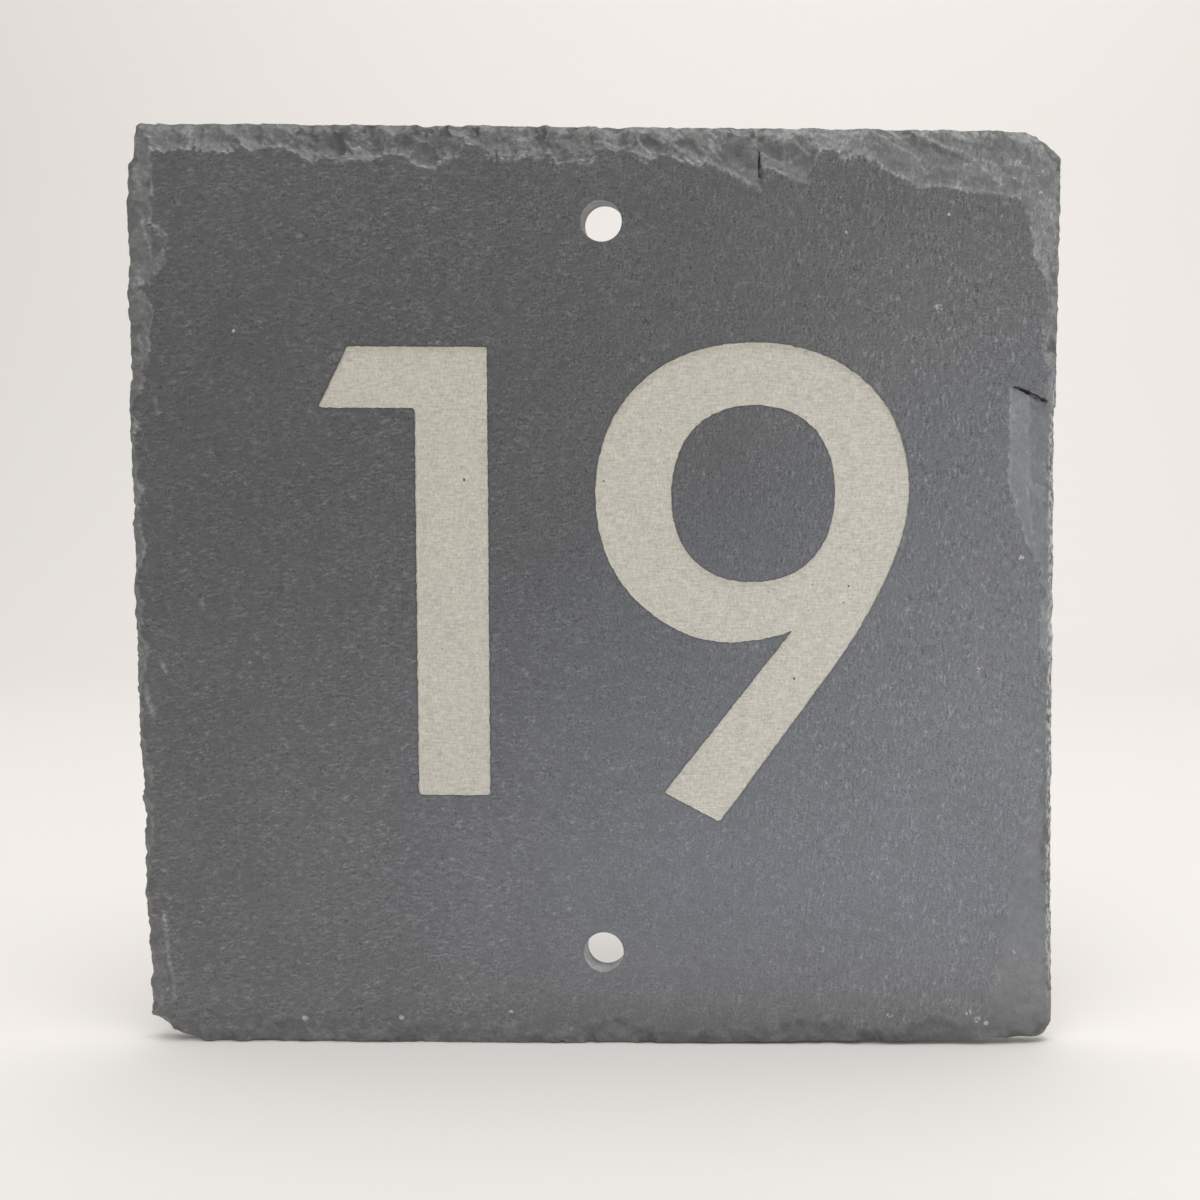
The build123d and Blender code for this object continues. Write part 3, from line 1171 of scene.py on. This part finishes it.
def slate_mesh():
    """The whole slab as one closed surface: face, broken sides, back and the bores of both holes."""
    ring, sway = outline_ring()
    edge_drop = FrontSurface(ring).drop
    front_ring = broken_edge(ring, sway, edge_drop)
    back_ring = broken_edge(ring, sway, np.full(len(ring), thickness))
    face, face_drop, face_tris, engraved, shades = front_sheet(front_ring)
    back, back_drop, back_tris = back_sheet(back_ring)

    blocks = [row_places(face, face_drop), row_places(back, back_drop)]
    tris = [face_tris, back_tris + len(face)]
    crests = [shades["crest"], np.zeros(len(back))]
    total = len(face) + len(back)
    ring_count = len(ring)

    # Broken sides: loops from the face's edge to the back's edge
    above = np.arange(ring_count)
    start_drop = face_drop[:ring_count]
    end_drop = back_drop[:ring_count]
    for layer in range(1, side_layers):
        drop = start_drop + (end_drop - start_drop) * layer / side_layers
        blocks.append(row_places(broken_edge(ring, sway, drop), drop))
        crests.append(np.zeros(ring_count))
        below = total + np.arange(ring_count)
        tris.append(band(above, below))
        above = below
        total += ring_count
    tris.append(band(above, len(face) + np.arange(ring_count)))

    # Bores: a narrow edge break made pale by a painted highlight, then straight through
    for k, place in enumerate(hole_places):
        first = ring_count + k * hole_segments
        above = first + np.arange(hole_segments)
        rim_drop = face_drop[above]
        bottom_drop = back_drop[above]
        for share, pale in bore_loops:
            drop = rim_drop + hole_chamfer + (bottom_drop - rim_drop - hole_chamfer) * share
            blocks.append(row_places(hole_loop(place, hole_radius), drop))
            crests.append(np.full(hole_segments, pale))
            below = total + np.arange(hole_segments)
            tris.append(band(above, below))
            above = below
            total += hole_segments
        tris.append(band(above, len(face) + first + np.arange(hole_segments)))

    places = np.vstack(blocks)
    triangles = np.vstack(tris)
    material = np.zeros(len(triangles), int)
    material[: len(engraved)] = engraved
    rest = len(places) - len(face)
    sides = rest - len(back)
    shades["broken"] = np.concatenate((shades["broken"], np.zeros(len(back)), np.ones(sides)))
    shades["crest"] = np.concatenate(crests)
    bores = len(hole_places) * len(bore_loops) * hole_segments
    # The bores' tone: partly paler drilled stone, partly painted light on the bore walls
    tones = [np.full(rest - bores, side_tone), np.full(bores, bore_tone)]
    shades["fresh_and_painted_light"] = np.concatenate((shades["fresh_and_painted_light"], *tones))
    for name in ("edge", "drawn", "painted_shade", "glow"):
        shades[name] = np.concatenate((shades[name], np.zeros(rest)))
    return places, triangles, material, shades


def surface_object(name, places, triangles, materials, shades=(), indices=None, sharp=None):
    """A mesh object at the origin from arrays of places and triangles."""
    mesh = bpy.data.meshes.new(name)
    mesh.from_pydata(places.tolist(), [], triangles.tolist())
    for material in materials:
        mesh.materials.append(material)
    if indices is not None:
        mesh.polygons.foreach_set("material_index", indices)
    for shade in shades:
        attribute = mesh.attributes.new(shade, "FLOAT", "POINT")
        attribute.data.foreach_set("value", shades[shade])
    mesh.shade_smooth()
    if sharp:
        mesh.set_sharp_from_angle(angle=radians(sharp))
    obj = bpy.data.objects.new(name, mesh)
    bpy.context.scene.collection.objects.link(obj)
    return obj


# Finishes


class Wire:
    """An output socket in a finish. Arithmetic on it adds Math nodes."""

    def __init__(self, finish, socket):
        self.finish = finish
        self.socket = socket

    def __add__(self, other):
        return self.finish.math("ADD", self, other)

    def __radd__(self, other):
        return self.finish.math("ADD", other, self)

    def __sub__(self, other):
        return self.finish.math("SUBTRACT", self, other)

    def __rsub__(self, other):
        return self.finish.math("SUBTRACT", other, self)

    def __mul__(self, other):
        return self.finish.math("MULTIPLY", self, other)

    def __rmul__(self, other):
        return self.finish.math("MULTIPLY", other, self)


class Finish:
    """A material and the nodes that make it."""

    def __init__(self, name):
        self.material = bpy.data.materials.new(name)
        self.material.use_nodes = True
        self.tree = self.material.node_tree
        self.tree.nodes.clear()

    def node(self, kind, settings, sockets, output=0):
        """Adds a node: settings first, then socket values or wires by name or number."""
        made = self.tree.nodes.new(kind)
        for name, value in settings.items():
            setattr(made, name, value)
        for key, value in sockets.items():
            if isinstance(value, Wire):
                self.tree.links.new(value.socket, made.inputs[key])
            else:
                made.inputs[key].default_value = value
        return Wire(self, made.outputs[output]) if len(made.outputs) else made

    def math(self, operation, *values):
        """One Math node on numbers or wires."""
        return self.node("ShaderNodeMath", {"operation": operation}, dict(enumerate(values)))

    def step(self, low, high, value):
        """0 up to low, 1 from high, smooth between."""
        settings = {"interpolation_type": "SMOOTHSTEP"}
        return self.node("ShaderNodeMapRange", settings, {0: value, 1: low, 2: high})

    def place(self):
        """Object coordinates in millimetres."""
        metres = self.node("ShaderNodeTexCoord", {}, {}, "Object")
        return self.node("ShaderNodeVectorMath", {"operation": "SCALE"}, {0: metres, "Scale": 1 / MM})

    def turned(self, place, angle, lengths):
        """Face coordinates turned so that their X runs at an angle in degrees from level, each then
        divided by a length."""
        sockets = {"Vector": place, "Rotation": (0.0, radians(-angle), 0.0), "Scale": lengths}
        return self.node("ShaderNodeMapping", {"vector_type": "TEXTURE"}, sockets)

    def noise(self, place, size, detail=2.0, roughness=0.5):
        """Noise from 0 to 1 with features of about size millimetres."""
        sockets = {"Vector": place, "Scale": 1 / size, "Detail": detail, "Roughness": roughness}
        return self.node("ShaderNodeTexNoise", {}, sockets)

    def attribute(self, name):
        """A shading value of the mesh."""
        return self.node("ShaderNodeAttribute", {"attribute_name": name}, {}, "Fac")

    def across_and_up(self, place):
        """The x and z of a place."""
        return [self.node("ShaderNodeSeparateXYZ", {}, {0: place}, axis) for axis in "XZ"]

    def warped(self, place, size, reach):
        """A place pushed about by noise of a size, by up to half of reach millimetres each way."""
        sockets = {"Vector": place, "Scale": 1 / size, "Detail": 1.0}
        push = self.node("ShaderNodeTexNoise", {}, sockets, "Color")
        settings = {"operation": "MULTIPLY_ADD"}
        return self.node("ShaderNodeVectorMath", settings, {0: push, 1: (reach, reach, reach), 2: place})

    def cells(self, place, size):
        """A random value from 0 to 1 for each of many cells of about size millimetres."""
        colour = self.node("ShaderNodeTexVoronoi", {}, {"Vector": place, "Scale": 1 / size}, "Color")
        return self.node("ShaderNodeSeparateColor", {}, {0: colour}, 0)

    def spots(self, place, marks):
        """1 inside each of a list of marks on the face, given as a place and a radius, else 0."""
        settings = {"operation": "MULTIPLY"}
        flat = self.node("ShaderNodeVectorMath", settings, {0: place, 1: (1.0, 0.0, 1.0)})
        total = 0.0
        for (x, z), radius in marks:
            settings = {"operation": "DISTANCE"}
            away = self.node("ShaderNodeVectorMath", settings, {0: flat, 1: (x, 0.0, z)}, "Value")
            total = (1 - self.step(0.5 * radius, radius, away)) + total
        return total

    def blend(self, factor, first, second):
        """A colour between two colours."""
        return self.node("ShaderNodeMix", {"data_type": "RGBA"}, {0: factor, 6: first, 7: second}, 2)

    def brighten(self, colour, factor):
        """A colour with every part of it multiplied by a factor."""
        settings = {"operation": "SCALE"}
        return self.node("ShaderNodeVectorMath", settings, {0: colour, "Scale": factor})

    def bump(self, height, depth):
        """A normal bent by a height of 0 to 1 that stands for depth millimetres."""
        return self.node("ShaderNodeBump", {}, {"Height": height, "Distance": depth * MM})

    def surface(self, sockets):
        """Ends the finish in one Principled shader."""
        shader = self.node("ShaderNodeBsdfPrincipled", {}, sockets)
        self.node("ShaderNodeOutputMaterial", {}, {"Surface": shader})
        return self.material


def slate_finish():
    """Natural riven slate: short strokes of grain that turn from level to upright across the face,
    pale flecks and a few chalky marks, and fresh paler stone where it was broken. Painted light is
    in it too: painted sheen and painted shade in the tone of the face and of the broken stone,
    painted highlights along ridges, and painted shadow at the numerals and in the cracks."""
    f = Finish("slate")
    place = f.place()
    x, z = f.across_and_up(place)
    broken = f.attribute("broken")
    edge = f.attribute("edge")
    fresh_and_painted_light = f.attribute("fresh_and_painted_light")
    crest = f.attribute("crest")
    drawn = f.attribute("drawn")
    painted_shade = f.attribute("painted_shade")

    plain_tint = (0.98, 1.0, 1.03, 1.0)
    # The cool tints give in part a painted bluish sheen on the lower right
    cool_face_tint = (0.94, 1.0, 1.16, 1.0)
    cool_split_tint = (0.95, 1.0, 1.08, 1.0)
    left_chip_colour = (0.110, 0.114, 0.101, 1.0)
    right_chip_colour = (0.200, 0.206, 0.192, 1.0)
    rim_chip_colour = (0.40, 0.40, 0.39, 1.0)
    ridge_highlight_colour = (0.26, 0.265, 0.26, 1.0)
    chalk_colour = (0.42, 0.42, 0.41, 1.0)
    painted_shade_colour = (0.022, 0.022, 0.021, 1.0)

    # Where on the slab: across it, down it, at its foot, and at the smooth stretch of its right edge
    middle = f.step(-60.0, -10.0, x)
    right = f.step(15.0, 65.0, x)
    to_right = f.step(-75.0, 20.0, x)
    turning = f.step(-45.0, 60.0, x)
    downward = f.step(20.0, -60.0, z)
    top = f.step(35.0, 68.0, z)
    foot = f.step(-58.0, -72.0, z)
    lower_edge = f.step(-66.0, -73.5, z)
    calm = f.step(50.0, 62.0, x) * f.step(40.0, 30.0, z)
    # cool: the lower right, where the painted bluish sheen tints the face
    cool = f.step(22.0, 2.0, z - 0.44 * x) * f.step(-76.0, -50.0, z) * to_right

    # Patterns, from fine to broad
    grit = f.noise(place, 0.36, 1.0, 0.6)
    bent = f.warped(place, 1.4, 0.9)
    stroke_lengths = (2.6, 1.0, 0.8)
    level_strokes = f.noise(f.turned(bent, 8.0, stroke_lengths), 0.5, 1.0, 0.6)
    upright_strokes = f.noise(f.turned(bent, 84.0, stroke_lengths), 0.5, 1.0, 0.6)
    strokes = level_strokes * (1 - turning) + upright_strokes * turning
    chip = f.cells(f.turned(f.warped(place, 0.9, 0.8), facet_heading, (1.5, 1.0, 1.0)), 0.95)
    mottle = f.noise(place, 1.9, 2.0, 0.6)
    patch = f.noise(place, 3.2, 2.0, 0.6)
    cloud = f.noise(place, 14.0, 2.0, 0.5)

    # The face: its tone along the top and along the bottom, a little off at the edges, and its tint.
    # They are partly the stone's own tone and partly a painted sheen, paler and bluer towards the lower
    # right and paler at the left of the foot; painted shade darkens the right of the foot and the lower
    # edge, and the face is paler along the top on the left
    upper = 0.0759 - 0.0066 * middle + 0.0184 * right
    lower = 0.0957 + 0.0439 * to_right
    stone = upper + downward * (lower - upper)
    stone = stone * (1 + foot * (0.15 - 0.26 * to_right))
    stone = stone * (1 + 0.14 * top * (1 - right) - 0.18 * lower_edge)
    colour = f.brighten(f.blend(cool, plain_tint, cool_face_tint), stone)

    # Broken stone, its tone partly fresh stone and partly painted light and shade, with pale chips at the
    # edge
    uneven = (1 - 0.7 * calm) * (0.5 * (patch - 0.5) + 0.4 * (chip - 0.5))
    tint = f.blend(cool, plain_tint, cool_split_tint)
    split = f.brighten(tint, stone * fresh_and_painted_light * (1 + uneven))
    pale = f.blend(turning, left_chip_colour, right_chip_colour)
    split = f.blend(edge * f.step(0.52, 0.60, chip) * (1 - foot) * (1 - 0.8 * calm), split, pale)
    rim = f.step(0.7, 0.95, edge) * calm * (1 - foot)
    split = f.blend(rim * f.step(0.44, 0.57, upright_strokes), split, rim_chip_colour)
    colour = f.blend(broken, colour, split)

    # Pale ridges, a painted highlight, fainter lower down and broken up in places
    worn = f.step(0.28, 0.58, mottle)
    line = f.math("MAXIMUM", crest * worn * (1 - 0.65 * downward), drawn * (0.45 + 0.55 * worn))
    colour = f.blend(0.6 * line, colour, ridge_highlight_colour)

    # Grain: strokes and grit, coarser in patches, with pale strokes and flecks, fainter on broken stone
    fleck = f.step(0.64, 0.78, grit) * f.step(0.42, 0.58, patch)
    light = f.step(0.58, 0.74, strokes) * f.step(0.42, 0.62, patch)
    coarse = 0.55 + 0.9 * f.step(0.35, 0.65, mottle)
    grain = coarse * (1.6 * (strokes - 0.5) + 1.5 * (grit - 0.5)) + 0.8 * light + 0.6 * fleck
    grain = grain * (0.7 + 0.3 * middle) * (1 - 0.45 * downward * to_right)
    tone = 0.97 + (1 - (0.5 + 0.25 * calm) * broken) * grain + 0.4 * (mottle - 0.5) + 0.2 * (cloud - 0.5)
    colour = f.brighten(colour, tone)

    chalk = f.spots(place, pale_marks) * f.step(0.44, 0.60, f.noise(place, 0.5, 1.0))
    colour = f.blend(chalk * 0.85, colour, chalk_colour)
    # Painted shadow outside the numerals and painted shade in the cracks
    colour = f.blend(painted_shade * 0.8, colour, painted_shade_colour)
    return f.surface({
        "Base Color": colour,
        "Roughness": 0.45 + 0.08 * broken + 0.12 * (mottle - 0.5),
        "IOR": 1.6,
        "Normal": f.bump(grit, 0.06),
    })


def engraved_finish():
    """Stone burnt pale by the engraving: a level hatch over upright grain, a paler edge, fine pits and
    a few dark nicks, with painted light that pales it towards the lower right."""
    f = Finish("engraved_slate")
    upper_left_colour = (0.473, 0.454, 0.397, 1.0)
    lower_right_colour = (0.523, 0.501, 0.456, 1.0)
    nick_colour = (0.09, 0.09, 0.085, 1.0)
    place = f.place()
    x, z = f.across_and_up(place)
    glow = f.attribute("glow")
    hatch = f.noise(f.turned(place, 0.0, (4.0, 1.0, 0.5)), 0.5, 1.0, 0.6)
    grain = f.noise(f.turned(place, 86.0, (2.0, 1.0, 0.8)), 0.3, 1.0, 0.6)
    mottle = f.noise(place, 1.5, 2.0, 0.6)
    pits = f.step(0.66, 0.75, f.noise(place, 0.4, 1.0))
    tone = 1.0 + 0.6 * (hatch - 0.5) + 0.6 * (grain - 0.5) + 0.2 * (mottle - 0.5)
    tone = tone + 0.08 * glow - 0.35 * pits
    # Painted light: the engraving is paler towards the lower right, where the light falls more strongly
    slant = f.step(-55.0, 85.0, x - 0.85 * z)
    colour = f.brighten(f.blend(slant, upper_left_colour, lower_right_colour), tone)
    colour = f.blend(f.spots(place, engraving_nicks), colour, nick_colour)
    return f.surface({
        "Base Color": colour,
        "Roughness": 0.9,
        "Normal": f.bump(0.5 * hatch + 0.5 * mottle, 0.03),
    })


def stage_finish():
    """Plain pale paint."""
    f = Finish("pale_stage")
    return f.surface({"Base Color": (0.90, 0.87, 0.84, 1.0), "Roughness": 0.9})


# Plaque

places, triangles, material_numbers, shades = slate_mesh()
plaque = surface_object(
    "slate_slab",
    places,
    triangles,
    [slate_finish(), engraved_finish()],
    shades,
    material_numbers,
    sharp=40,
)
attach(plaque, "root")
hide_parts("slate_plaque")

# Stage: a floor that curves up into a backdrop


def stage_surface(width, front, back, height, radius):
    """A profile in metres carried along X: flat floor, a quarter turn, then an upright backdrop."""
    turn = np.linspace(0, np.pi / 2, 17)
    y = np.concatenate(([front, 0.0], back - radius + radius * np.sin(turn), [back]))
    z = np.concatenate(([0.0, 0.0], radius - radius * np.cos(turn), [height]))
    x = np.linspace(-width / 2, width / 2, 5)
    count = len(y)
    across, along = np.meshgrid(np.arange(len(x)), np.arange(count), indexing="ij")
    places = np.column_stack((x[across.ravel()], y[along.ravel()], z[along.ravel()]))
    corner = (np.arange(len(x) - 1)[:, None] * count + np.arange(count - 1)).ravel()
    first = np.column_stack((corner, corner + count, corner + count + 1))
    second = np.column_stack((corner, corner + count + 1, corner + 1))
    return places, np.vstack((first, second))


object_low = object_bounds()[0]
stage_places, stage_triangles = stage_surface(width=4.0, front=-1.8, back=0.9, height=1.8, radius=0.4)
stage_places[:, 2] += object_low.z
stage = surface_object("stage", stage_places, stage_triangles, [stage_finish()])

# Light


def soft_light(name, place, target, size, power):
    """A rectangular lamp at place that faces target, with its two sides and its power in watts."""
    data = bpy.data.lights.new(name, "AREA")
    data.shape = "RECTANGLE"
    data.size, data.size_y = size
    data.energy = power
    lamp = bpy.data.objects.new(name, data)
    lamp.location = place
    lamp.rotation_euler = (Vector(target) - Vector(place)).to_track_quat("-Z", "Y").to_euler()
    bpy.context.scene.collection.objects.link(lamp)


slab_middle = (0.0, 0.0, 0.0)
backdrop_middle = (0.0, 0.9, 0.25)
soft_light("window", (0.24, -0.78, -0.03), slab_middle, (0.35, 0.09), 1.8)
soft_light("sky", (0.10, -0.30, 0.90), slab_middle, (0.8, 0.5), 5.0)
soft_light("backdrop", (0.0, 0.20, 1.1), backdrop_middle, (1.6, 0.4), 4.0)

world = bpy.data.worlds.new("studio")
world.use_nodes = True
background = world.node_tree.nodes["Background"]
background.inputs["Color"].default_value = (1.0, 0.99, 0.975, 1.0)
background.inputs["Strength"].default_value = 0.42
bpy.context.scene.world = world

# Camera: the photograph's own viewpoint and framing. The image is square, its optical axis runs through
# axis_column, and the angles are in degrees.
image_width = 1200
axis_column = 801.2
focal_pixels = 1340
camera_place = (0.03209, -0.22187, 0.01179)
camera_dip = 3.39
camera_roll = -0.295
camera_turn = -0.035
camera_data = bpy.data.cameras.new("viewpoint")
camera_data.sensor_width = 36.0
camera_data.lens = camera_data.sensor_width * focal_pixels / image_width
camera_data.shift_x = (image_width / 2 - axis_column) / image_width
camera = bpy.data.objects.new("viewpoint", camera_data)
camera.location = camera_place
camera.rotation_euler = (radians(90 - camera_dip), radians(camera_roll), radians(camera_turn))
bpy.context.scene.collection.objects.link(camera)
bpy.context.scene.camera = camera
bpy.context.scene.view_settings.view_transform = "Standard"
